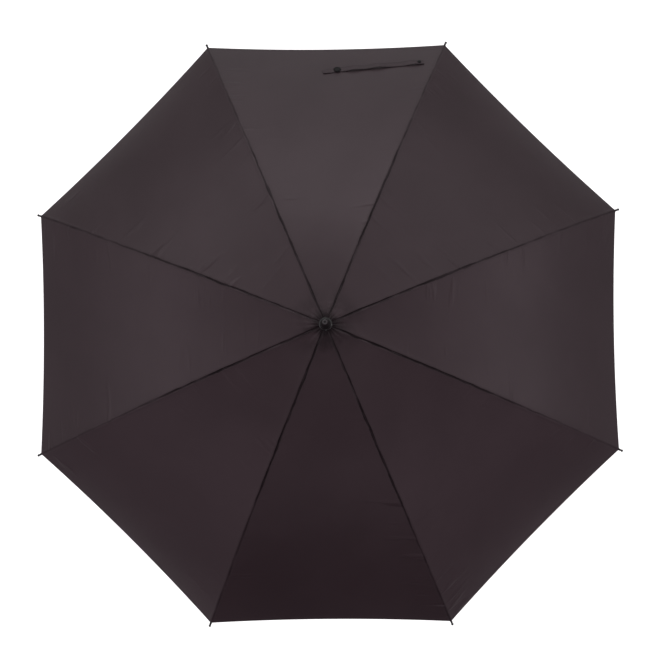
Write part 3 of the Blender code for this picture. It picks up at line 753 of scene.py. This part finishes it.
def fold_hem(grid, edge, shares, number):
    """Adds three rows to a lower cut's grid, which run back under its hem."""
    for back, depth in ((0.0, FOLD_DEPTH * 0.5), (HEM_FOLD * 0.3, FOLD_DEPTH), (HEM_FOLD, FOLD_DEPTH)):
        spots = cloth_place(edge - back, shares, number, depth)
        flat = edge + back
        row = {
            "spots": np.concatenate([spots[:1], spots, spots[-1:]]),
            "along": np.concatenate([flat[:1], flat, flat[-1:]]),
            "lateral": grid["lateral"][-1],
            "seam": np.maximum(grid["seam"][-1], 0.006),
            "hem": np.full(len(flat) + 2, back + 0.001),
            "weight": grid["weight"][-1],
        }
        for key, values in row.items():
            grid[key] = np.concatenate([grid[key], values[None]], 0)


def build_cut(name, rows, shares, number, finish, with_hem):
    """One cut of cloth between two ribs, its seam allowances and hem folded under.

    The upper cut runs on a little way under the lower one, so that no gap shows between them as they fold.
    """
    edge = rows[-1]
    if with_hem:
        grid = cloth_grid(rows, shares, number, np.zeros_like(rows))
        fold_hem(grid, edge, shares, number)
    else:
        tuck, depth = tuck_rows(edge, shares)
        height = np.concatenate([np.zeros_like(rows), depth], 0)
        grid = cloth_grid(np.concatenate([rows, tuck], 0), shares, number, height)
    spots = turn(grid["spots"], rib_angle(number))
    index = np.arange(spots.shape[0] * spots.shape[1]).reshape(spots.shape[:2])
    faces = np.stack([index[:-1, :-1], index[1:, :-1], index[1:, 1:], index[:-1, 1:]], -1)
    if not with_hem:
        faces = np.delete(faces, len(rows) - 1, 0)  # the tuck is a strip of its own
    made = piece(name, spots.reshape(-1, 3), faces.reshape(-1, 4).tolist(), finish)
    made.data.set_sharp_from_angle(angle=math.radians(60))
    lateral = grid["lateral"].ravel() + 3.0 * number  # so that no two gores have the same pattern
    paint_uv(made, "cloth", np.stack([grid["along"].ravel(), lateral], -1))
    paint_uv(made, "edge", np.stack([grid["seam"].ravel(), grid["hem"].ravel()], -1))
    return made, grid["weight"].ravel()


def bend_by_share(made, first, second, weight):
    """The cloth follows one body at one seam and the other at the far seam, by its share between them."""
    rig.blend(made, first, second, start=(0, 0, 0), end=(0, 0, 1))
    made.data.attributes["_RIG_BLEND"].data.foreach_set("value", weight.astype(np.float32))


def build_canopy(finish):
    shares = gore_columns()
    split = split_line(shares)
    upper_down = np.linspace(0, 1, UPPER_ROWS)[:, None] ** 1.25  # rows closer together at the crown
    upper = CLOTH_START + upper_down * (split - CLOTH_START)
    lower_down = np.linspace(0, 1, LOWER_ROWS)[:, None]
    lower = split + lower_down * (hem_at(shares) - split)
    for number in range(1, RIBS + 1):
        following = number % RIBS + 1
        for part, bone, rows, width in (("top", "rib", upper, TOP_WIDTH), ("hem", "rod", lower, HEM_WIDTH)):
            made, weight = build_cut(f"gore_{part}_{number}", rows, shares, number, finish, part == "hem")
            rests = [f"{bone}_{number}", f"{bone}_{following}"]
            area = sum(face.area for face in made.data.polygons)
            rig.sheet(made, flat=(width, BLANK_LENGTH), held="stretched", rests_on=rests, area=area)
            bend_by_share(made, f"{bone}_{number}", f"canopy_{part}_{number}", weight)
            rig.replaces(made, f"canopy_{part}_{number}")
            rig.slot(made, "pongee_cloth")


# ---------------------------------------------------------------- rods, caps and strap
def build_rods(glass, plastic):
    sides, stations = 14, 30
    for number in range(1, RIBS + 1):
        points, coordinates, faces = [], [], []
        for i in range(stations):
            at = FLEX_AT - 0.0015 + (RIB_LENGTH - FLEX_AT) * i / (stations - 1)
            for side in range(sides):
                a = 2 * math.pi * side / sides
                out, up = rib_point(at, ROD_RADIUS * math.sin(a))
                points.append((out, ROD_RADIUS * math.cos(a), up))
                coordinates.append((at, ROD_RADIUS * a))
        for i in range(stations - 1):
            for side in range(sides):
                here, beside = i * sides + side, i * sides + (side + 1) % sides
                faces.append((here, beside, beside + sides, here + sides))
        faces.append(tuple(range(sides)))
        faces.append(tuple(range((stations - 1) * sides, stations * sides)))
        points = turn(np.array(points), rib_angle(number))
        rod = face_out(piece(f"outer_rod_{number}", points, faces, glass))
        paint_uv(rod, "cloth", coordinates)
        rod.data.set_sharp_from_angle(angle=math.radians(50))
        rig.ride(rod, f"rod_{number}")
        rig.replaces(rod, f"rod_{number}")
        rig.slot(rod, "rod_fibreglass")
        build_tip(number, plastic)


def build_tip(number, plastic):
    """The cap that the canopy's corner is sewn to: skirt, waist with a thread groove, and round nose."""
    profile = [(0, -0.0128), (0.0020, -0.0130), (0.0024, -0.0126), (0.0024, -0.0082), (0.0021, -0.0078)]
    profile += [(0.0021, -0.0070), (0.0024, -0.0066), (0.0022, -0.0040), (0.0019, -0.0030), (0.0021, -0.0016)]
    profile += arc((0.0006, 0.0018), 0.0021, -50, 90, 9)
    profile.append((0, 0.0039))
    tip = turned(f"tip_cap_{number}", profile, plastic, 24)
    out, up = rib_point(RIB_LENGTH)
    aim = Matrix.Rotation(math.pi / 2 + slope(RIB_LENGTH - 0.006), 4, "Y")
    place = Matrix.Rotation(rib_angle(number), 4, "Z") @ Matrix.Translation((out, 0, up)) @ aim
    tip.data.transform(place)
    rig.ride(tip, f"rod_{number}")
    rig.slot(tip, "black_plastic")


STRAP_GORE = 2
STRAP_ROOT = (0.059, 0.070)  # share of the way across the gore, and distance in from the hem
STRAP_END = (0.513, 0.097)
STRAP_HALF = 0.0064
STRAP_LIFT = 0.0016
STRAP_KEEP = 0.25  # of its length when the umbrella is folded
STRAP_THICKNESS = 0.0010


def strap_frame(part):
    """(middle, along, across, away) at a part of the strap's length from its sewn end, in its rib's frame."""

    def middle_at(t):
        # a line with a slight bow and a kink before the snap, and low humps where it stands off the cloth
        share = STRAP_ROOT[0] + (STRAP_END[0] - STRAP_ROOT[0]) * t
        inset = STRAP_ROOT[1] + (STRAP_END[1] - STRAP_ROOT[1]) * t
        inset -= 0.0014 * math.sin(math.pi * t) + 0.0016 * math.exp(-((t - 0.84) ** 2) / 0.008)
        humps = sum(math.exp(-((t - at) ** 2) / 0.004) for at in (0.10, 0.45, 0.69))
        rise = STRAP_LIFT + 0.0012 * math.sin(math.pi * t) ** 2 + 0.0024 * humps
        return Vector(cloth_place(CLOTH_END - inset, share, STRAP_GORE, rise))

    here, ahead = middle_at(part), middle_at(part + 0.01)
    along = (ahead - here).normalized()
    share = STRAP_ROOT[0] + (STRAP_END[0] - STRAP_ROOT[0]) * part
    spot = [Vector(cloth_place(CLOTH_END - 0.06, share, STRAP_GORE, h)) for h in (0.0, 0.01)]
    away = (spot[1] - spot[0]).normalized()
    across = along.cross(away).normalized()
    away = across.cross(along).normalized()
    tilt = math.radians(9.0) * math.sin(math.pi * min(part, 1.0)) + math.radians(6.0) * math.sin(9.0 * part)
    c, s = math.cos(tilt), math.sin(tilt)
    return here, along, across * c + away * s, away * c - across * s


def build_ribbon(finish):
    """The strap's doubled ribbon, lying loosely on the cloth, and its length."""
    stations = 72
    section = [(-1, 0.15), (-0.97, -0.1), (0, -0.14), (0.97, -0.1), (1, 0.15)]
    section += [(0.97, 0.62), (0.80, 0.74), (0, 0.84), (-0.80, 0.74), (-0.97, 0.62)]
    points, coordinates, faces = [], [], []
    length = (strap_frame(1.0)[0] - strap_frame(0.0)[0]).length
    for i in range(stations + 1):
        part = i / stations
        here, _, across, away = strap_frame(part)
        narrow = 1.0 - 0.10 * max(0.0, part - 0.97) / 0.03
        for x, z in section:
            points.append(here + across * (x * STRAP_HALF * narrow) + away * (z * STRAP_THICKNESS))
            coordinates.append((part * length, x * STRAP_HALF))
    size = len(section)
    for i in range(stations):
        for k in range(size):
            here, beside = i * size + k, i * size + (k + 1) % size
            faces.append((here, beside, beside + size, here + size))
    faces.append(tuple(range(size)))
    faces.append(tuple(range(stations * size, (stations + 1) * size)))
    points = turn(np.array(points), rib_angle(STRAP_GORE))
    strap = face_out(piece("strap_ribbon", points, faces, finish))
    strap.data.set_sharp_from_angle(angle=math.radians(60))
    paint_uv(strap, "cloth", coordinates)
    return strap, length


def join_strap(made):
    """A piece of the strap turns with it, and is drawn in toward its sewn end as the umbrella folds."""
    angle = rib_angle(STRAP_GORE)
    root = turn(np.array(strap_frame(0.0)[0]), angle)
    way = turn(np.array(strap_frame(0.5)[1]), angle)
    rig.ride(made, "tie_strap")
    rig.squash(made, "rib_1_fold", axis=tuple(way), anchor=tuple(root), keep=STRAP_KEEP)


def build_snap(name, part, profile, plastic, node):
    """A turned half of the snap, seated on the strap at a part of its length."""
    here, along, across, away = strap_frame(part)
    seat = here + away * STRAP_THICKNESS * 0.84
    place = Matrix.Translation(seat) @ Matrix((along, -across, away)).transposed().to_4x4()
    snap = turned(name, rounded(profile, 0.0002), plastic, 40)
    snap.data.transform(Matrix.Rotation(rib_angle(STRAP_GORE), 4, "Z") @ place)
    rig.replaces(snap, node)
    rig.slot(snap, "black_plastic")
    join_strap(snap)


def build_strap(finish, plastic):
    """The tie strap, sewn on at one end, and the two halves of its snap."""
    strap, length = build_ribbon(finish)
    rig.sheet(strap, flat=(2 * STRAP_HALF, length), held="laid", rests_on=[f"gore_hem_{STRAP_GORE}"])
    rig.replaces(strap, "tie_strap")
    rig.slot(strap, "pongee_cloth")
    join_strap(strap)
    dome = [(0, 0), (0.0068, 0), (0.0074, 0.0005), (0.0073, 0.0011), (0.0064, 0.0020), (0.0050, 0.0027)]
    dome += [(0.0044, 0.0025), (0, 0.0023)]
    build_snap("snap_dome", 1 - 0.030 / length, dome, plastic, "snap_cap")
    stud = [(0, 0), (0.0038, 0), (0.0040, 0.0004), (0.0036, 0.0009), (0.0020, 0.0011)]
    stud += [(0.0018, 0.0017), (0, 0.0018)]
    build_snap("snap_post", 0.009 / length, stud, plastic, "snap_stud")


# ---------------------------------------------------------------- handle, crown and fittings
def build_turned(name, profile, finish, node, slot, round_off, sides):
    """A turned piece that rides on the shaft and replaces one CAD node."""
    made = turned(name, rounded(profile, round_off), finish, sides)
    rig.ride(made, "shaft")
    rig.replaces(made, node)
    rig.slot(made, slot)


CORE_HOLE = 0.0099  # radii of the holes in what is fitted over the core tube and over the shaft's top end
COLLAR_HOLE = 0.0098
CROWN_HOLE = 0.0073
SPIKE_BASE = NOTCH_Z + 0.036  # where the ferrule starts to taper, just under the end of its hole


def build_handle(plastic, foam_skin):
    low, top = (corner.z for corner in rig.box("handle_grip"))
    grip = [(CORE_HOLE, low + 0.0002), (0.0146, low + 0.0002), (0.0155, low + 0.003)]
    for i in range(1, 24):
        part = i / 24
        radius = 0.0156 + 0.0008 * math.sin(math.pi * part)
        grip.append((radius, low + 0.003 + (top - low - 0.006) * part))
    grip += [(0.0155, top - 0.003), (0.0146, top - 0.0002), (CORE_HOLE, top - 0.0002)]
    build_turned("foam_grip", grip, foam_skin, "handle_grip", "grip_foam", 0.0010, 96)
    cap = [(0, 0), (0.0118, 0), (0.0128, 0.0002), (0.0146, 0.0012), (0.0152, 0.0028), (0.0152, 0.0060)]
    cap += [(0.0148, 0.0062), (0.0148, 0.0070), (0.0152, 0.0072), (0.0150, 0.0084), (0, 0.0084)]
    build_turned("end_cap", cap, plastic, "handle_end_cap", "black_plastic", 0.0003, 96)
    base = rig.box("handle_collar")[0].z
    collar = [(COLLAR_HOLE, 0), (0.0150, 0), (0.0152, 0.0012), (0.0148, 0.0030), (0.0138, 0.0056)]
    collar += [(0.0134, 0.0058), (0.0132, 0.0066), (0.0126, 0.0085), (0.0117, 0.0125), (0.0110, 0.0137)]
    collar.append((COLLAR_HOLE, 0.0137))
    collar = [(radius, base + up) for radius, up in collar]
    build_turned("grip_collar", collar, plastic, "handle_collar", "black_plastic", 0.0004, 96)


def build_crown(gloss, spike):
    foot, top = (corner.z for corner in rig.box("ferrule"))
    ferrule = [(CROWN_HOLE, 0), (0.0094, 0), (0.0098, 0.0006), (0.0097, 0.0016), (0.0088, 0.0026)]
    ferrule += [(0.0083, 0.0036), (0.0081, 0.010), (0.0079, 0.0107), (0.0079, 0.0113), (0.0081, 0.012)]
    ferrule = [(radius, foot + up) for radius, up in ferrule]
    ferrule += [(0.0080, SPIKE_BASE), (0.0066, top - 0.032)]
    ferrule += [(0.0054, top - 0.012), (0.0051, top - 0.003)]
    ferrule += arc((0.0038, top - 0.0012), 0.0012, 0, 90, 5)
    ferrule += [(0.0022, top), (0.0019, top - 0.0006), (0.0018, top - 0.005), (0, top - 0.005)]
    ferrule += [(0, SPIKE_BASE + 0.0003), (CROWN_HOLE, SPIKE_BASE + 0.0003)]
    build_turned("ferrule_spike", ferrule, spike, "ferrule", "black_plastic", 0.0003, 64)
    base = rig.box("top_cap")[0].z
    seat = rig.box("crown_rosette")[1].z + 0.0003
    cap = [(0.0126, 0), (0.0130, 0.0004), (0.0130, 0.0013), (0.0127, 0.0021), (0.0110, 0.0032)]
    cap += [(0.0092, 0.0036), (CROWN_HOLE, 0.0036)]
    cap = [(radius, base + up) for radius, up in cap]
    cap = [(CROWN_HOLE, seat), (0.0093, seat), (0.0093, base)] + cap
    build_turned("crown_cap", cap, gloss, "top_cap", "black_plastic", 0.0003, 72)


def build_rosette(finish):
    """The disc of cloth between the notch and the canopy, its edge pinked and drooping a little."""
    low, high = (corner.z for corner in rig.box("crown_rosette"))
    hole, rim, teeth, droop = 0.0074, 0.0175, 28, 0.0005
    sides, rings = teeth * 4, 9
    points, coordinates, faces = [], [], []
    for height in (low, high):
        for ring in range(rings):
            part = ring / (rings - 1)
            for side in range(sides):
                a = 2 * math.pi * side / sides
                radius = hole + (rim + 0.0004 * math.cos(teeth * a) - hole) * part
                sink = droop * part**2 + 0.0001 * math.sin(5 * a) * part
                points.append((radius * math.cos(a), radius * math.sin(a), height - sink))
                coordinates.append((radius * a, radius - 0.0105))
    layer = rings * sides
    for side in range(sides):
        after = (side + 1) % sides
        for ring in range(rings - 1):
            near, far = ring * sides, (ring + 1) * sides
            faces.append((layer + near + side, layer + far + side, layer + far + after, layer + near + after))
            faces.append((near + side, near + after, far + after, far + side))
        for edge in (0, (rings - 1) * sides):
            faces.append((edge + side, edge + after, layer + edge + after, layer + edge + side))
    made = face_out(piece("rosette_cloth", points, faces, finish))
    made.data.set_sharp_from_angle(angle=math.radians(50))
    paint_uv(made, "cloth", coordinates)
    area = math.pi * (rim**2 - hole**2)
    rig.sheet(made, flat=(2 * rim, 2 * rim), held="laid", rests_on=["top_notch"], area=area)
    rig.ride(made, "shaft")
    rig.replaces(made, "crown_rosette")
    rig.slot(made, "pongee_cloth")


def dress_frame(steel, plastic):
    """Gives every CAD piece that shows as it is its finish, and softens its edges."""
    by_slot = {"frame_steel": steel, "black_plastic": plastic}
    slots = {row["node"]: row["material_slot"] for row in frame["record"]["subparts"]}
    for name, thing in frame["nodes"].items():
        if thing.hide_render:
            continue
        thing.data.materials.clear()
        thing.data.materials.append(by_slot[slots[name]])
        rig.slot(thing, slots[name])
        soften = thing.modifiers.new("soften", "BEVEL")
        soften.width = 0.00015 if name.startswith(("rib_", "stretcher_")) else 0.0003
        soften.segments = 2
        soften.limit_method = "ANGLE"
        soften.angle_limit = math.radians(40)
        soften.harden_normals = True


# ---------------------------------------------------------------- floor, light and camera
FLOOR_HALF = 1.05


def build_stage():
    paint = Finish("pale_floor", (0.86, 0.86, 0.86), 0.9)
    paint.set("Emission Color", (1.0, 1.0, 1.0, 1.0))
    paint.set("Emission Strength", 0.95)
    corners = [(x * FLOOR_HALF, y * FLOOR_HALF, -0.002) for x, y in ((-1, -1), (1, -1), (1, 1), (-1, 1))]
    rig.stage(piece("floor", corners, [(0, 1, 2, 3)], paint.material))


# Two bands of light, high up and near the horizon: brightness against the sine of the elevation, times
# brightness against y, which runs from -1 at place 0 to 1 at place 1
HIGH = ((0.12, 0.05), (0.25, 0.56), (0.42, 1.20), (0.54, 0.98), (0.70, 0.60), (1.0, 0.74))
HIGH_SIDE = ((0.04, 0.08), (0.10, 0.28), (0.16, 0.48), (0.25, 0.56))
HIGH_SIDE += ((0.5, 0.74), (0.78, 0.94), (0.86, 0.74), (0.95, 0.56))
LOW = ((0.0, 0.55), (0.04, 1.0), (0.14, 0.95), (0.34, 0.0))
LOW_SIDE = ((0.03, 0.12), (0.16, 0.40), (0.5, 0.38), (0.84, 0.16), (0.97, 0.85))
FLAGS = (225.0, 315.0)  # azimuths of two dark flags, steep above the picture's lower corners
FLAG_FROM_ZENITH = math.radians(28.0)
FLAG_REACH = math.radians(21.0)
FLAG_SHADE = 0.15
BLUSH = 0.22  # how much redder the light is from the bottom of the picture


def paint_ramp(node, stops, blush):
    """Sets a colour ramp's stops from (place, brightness) pairs, redder toward place 0 by the share blush."""
    elements = node.color_ramp.elements
    while len(elements) < len(stops):
        elements.new(0.5)
    for element, (position, value) in zip(elements, stops):
        element.position = position
        red = blush * max(0.0, 1.0 - position / 0.75)
        element.color = (value, value * (1.0 - red), value * (1.0 - red / 2), 1.0)


def light_bands(tree, direction):
    """The two bands of light, added up."""
    split = shader_node(tree, "SeparateXYZ")
    tree.links.new(direction, split.inputs[0])
    lean = shader_node(tree, "MapRange")
    tree.links.new(split.outputs[1], lean.inputs["Value"])
    lean.inputs["From Min"].default_value = -1.0
    both = shader_node(tree, "VectorMath", operation="ADD")
    for number, (by_height, by_side) in enumerate(((HIGH, HIGH_SIDE), (LOW, LOW_SIDE))):
        band = shader_node(tree, "VectorMath", operation="MULTIPLY")
        for socket, (value, stops) in enumerate(((split.outputs[2], by_height), (lean.outputs[0], by_side))):
            ramp = shader_node(tree, "ValToRGB")
            paint_ramp(ramp, stops, BLUSH if socket else 0.0)
            tree.links.new(value, ramp.inputs[0])
            tree.links.new(ramp.outputs[0], band.inputs[socket])
        tree.links.new(band.outputs[0], both.inputs[number])
    return both.outputs[0]


def shade_by_flag(tree, direction, light, azimuth):
    """The light with one dark flag held up in it."""
    a = math.radians(azimuth)
    out, up = math.sin(FLAG_FROM_ZENITH), math.cos(FLAG_FROM_ZENITH)
    nearness = shader_node(tree, "VectorMath", operation="DOT_PRODUCT")
    tree.links.new(direction, nearness.inputs[0])
    nearness.inputs[1].default_value = (out * math.cos(a), out * math.sin(a), up)
    shade = shader_node(tree, "MapRange", interpolation_type="SMOOTHSTEP")
    tree.links.new(nearness.outputs["Value"], shade.inputs["Value"])
    shade.inputs["From Min"].default_value = math.cos(FLAG_REACH)
    shade.inputs["To Min"].default_value = 1.0
    shade.inputs["To Max"].default_value = FLAG_SHADE
    shaded = shader_node(tree, "VectorMath", operation="SCALE")
    tree.links.new(light, shaded.inputs[0])
    tree.links.new(shade.outputs[0], shaded.inputs["Scale"])
    return shaded.outputs[0]


def build_world():
    """White to the camera. As light it is a studio: bright low down behind the picture's top, dark below."""
    world = bpy.data.worlds.new("studio")
    bpy.context.scene.world = world
    world.use_nodes = True
    tree = world.node_tree
    tree.nodes.clear()
    direction = shader_node(tree, "TexCoord").outputs["Generated"]
    light = light_bands(tree, direction)
    for azimuth in FLAGS:
        light = shade_by_flag(tree, direction, light, azimuth)
    studio = shader_node(tree, "Background")
    tree.links.new(light, studio.inputs["Color"])
    white = shader_node(tree, "Background")
    white.inputs["Color"].default_value = (1.0, 1.0, 1.0, 1.0)
    white.inputs["Strength"].default_value = 1.05
    path = shader_node(tree, "LightPath")
    choose = shader_node(tree, "MixShader")
    tree.links.new(path.outputs["Is Camera Ray"], choose.inputs[0])
    tree.links.new(studio.outputs[0], choose.inputs[1])
    tree.links.new(white.outputs[0], choose.inputs[2])
    end = shader_node(tree, "OutputWorld")
    tree.links.new(choose.outputs[0], end.inputs["Surface"])


def area_light(name, place, aim, size, power, colour):
    data = bpy.data.lights.new(name, "AREA")
    data.shape = "RECTANGLE"
    data.size, data.size_y = size
    data.energy = power
    data.color = colour
    made = bpy.data.objects.new(name, data)
    made.location = place
    made.rotation_mode = "QUATERNION"
    made.rotation_quaternion = (Vector(aim) - Vector(place)).to_track_quat("-Z", "Y")
    bpy.context.scene.collection.objects.link(made)


def build_lights():
    area_light("key", (-0.8, 4.2, 3.6), (0, 0, 0.8), (2.8, 0.9), 20.5, (1.0, 0.985, 0.99))
    area_light("glint_right", (3.0, -0.3, 2.3), (0, 0, 0.95), (0.25, 0.25), 1.6, (1.0, 1.0, 1.0))
    area_light("glint_near", (0.3, -3.0, 2.3), (0, 0, 0.95), (0.25, 0.25), 0.9, (1.0, 1.0, 1.0))
    area_light("fill", (-3.6, -0.6, 2.4), (0, 0, 0.8), (2.0, 2.0), 3.2, (0.97, 0.97, 1.0))
    area_light("low_right", (3.6, 0.2, 1.5), (0, 0, 0.8), (1.4, 0.5), 1.4, (1.0, 0.98, 1.0))


CAMERA_AT = Vector((0.0663, -0.1900, 4.604))
CAMERA_AIM = Vector((0.0030, 0.0050, 0.604))
CAMERA_ROLL = math.radians(-0.48)
CAMERA_LENS = 106.0


def build_camera():
    data = bpy.data.cameras.new("camera")
    data.sensor_width = 36.0
    data.lens = CAMERA_LENS
    camera = bpy.data.objects.new("camera", data)
    ahead = (CAMERA_AIM - CAMERA_AT).normalized()
    right = ahead.cross(Vector((0, 1, 0))).normalized()
    up = right.cross(ahead)
    c, s = math.cos(CAMERA_ROLL), math.sin(CAMERA_ROLL)
    right, up = right * c + up * s, up * c - right * s
    axes = Matrix((right, up, -ahead)).transposed()
    camera.matrix_world = Matrix.Translation(CAMERA_AT) @ axes.to_4x4()
    bpy.context.scene.collection.objects.link(camera)
    bpy.context.scene.camera = camera


def main():
    bpy.context.scene.view_settings.view_transform = "Standard"
    finishes = {
        "cloth": pongee(),
        "strap": webbing(),
        "plastic": moulding("black_moulding", (0.011, 0.010, 0.011), 0.27, 1400.0),
        "gloss": moulding("glossy_moulding", (0.007, 0.006, 0.007), 0.15, 900.0),
        "snap": moulding("snap_moulding", (0.007, 0.006, 0.007), 0.36, 1400.0, 0.22),
        "enamel": enamel(),
        "glass": fibreglass(),
        "foam": foam(),
    }
    build_canopy(finishes["cloth"])
    build_rods(finishes["glass"], finishes["plastic"])
    build_strap(finishes["strap"], finishes["snap"])
    build_handle(finishes["plastic"], finishes["foam"])
    build_crown(finishes["gloss"], spike_with_painted_highlight())
    build_rosette(finishes["strap"])
    dress_frame(finishes["enamel"], finishes["plastic"])
    build_stage()
    build_world()
    build_lights()
    build_camera()
    boxes = {"cad": [list(corner) for corner in CAD_BOX], "visual": [list(corner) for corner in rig.bounds()]}
    with open("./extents.json", "w") as sizes:
        json.dump(boxes, sizes)


main()
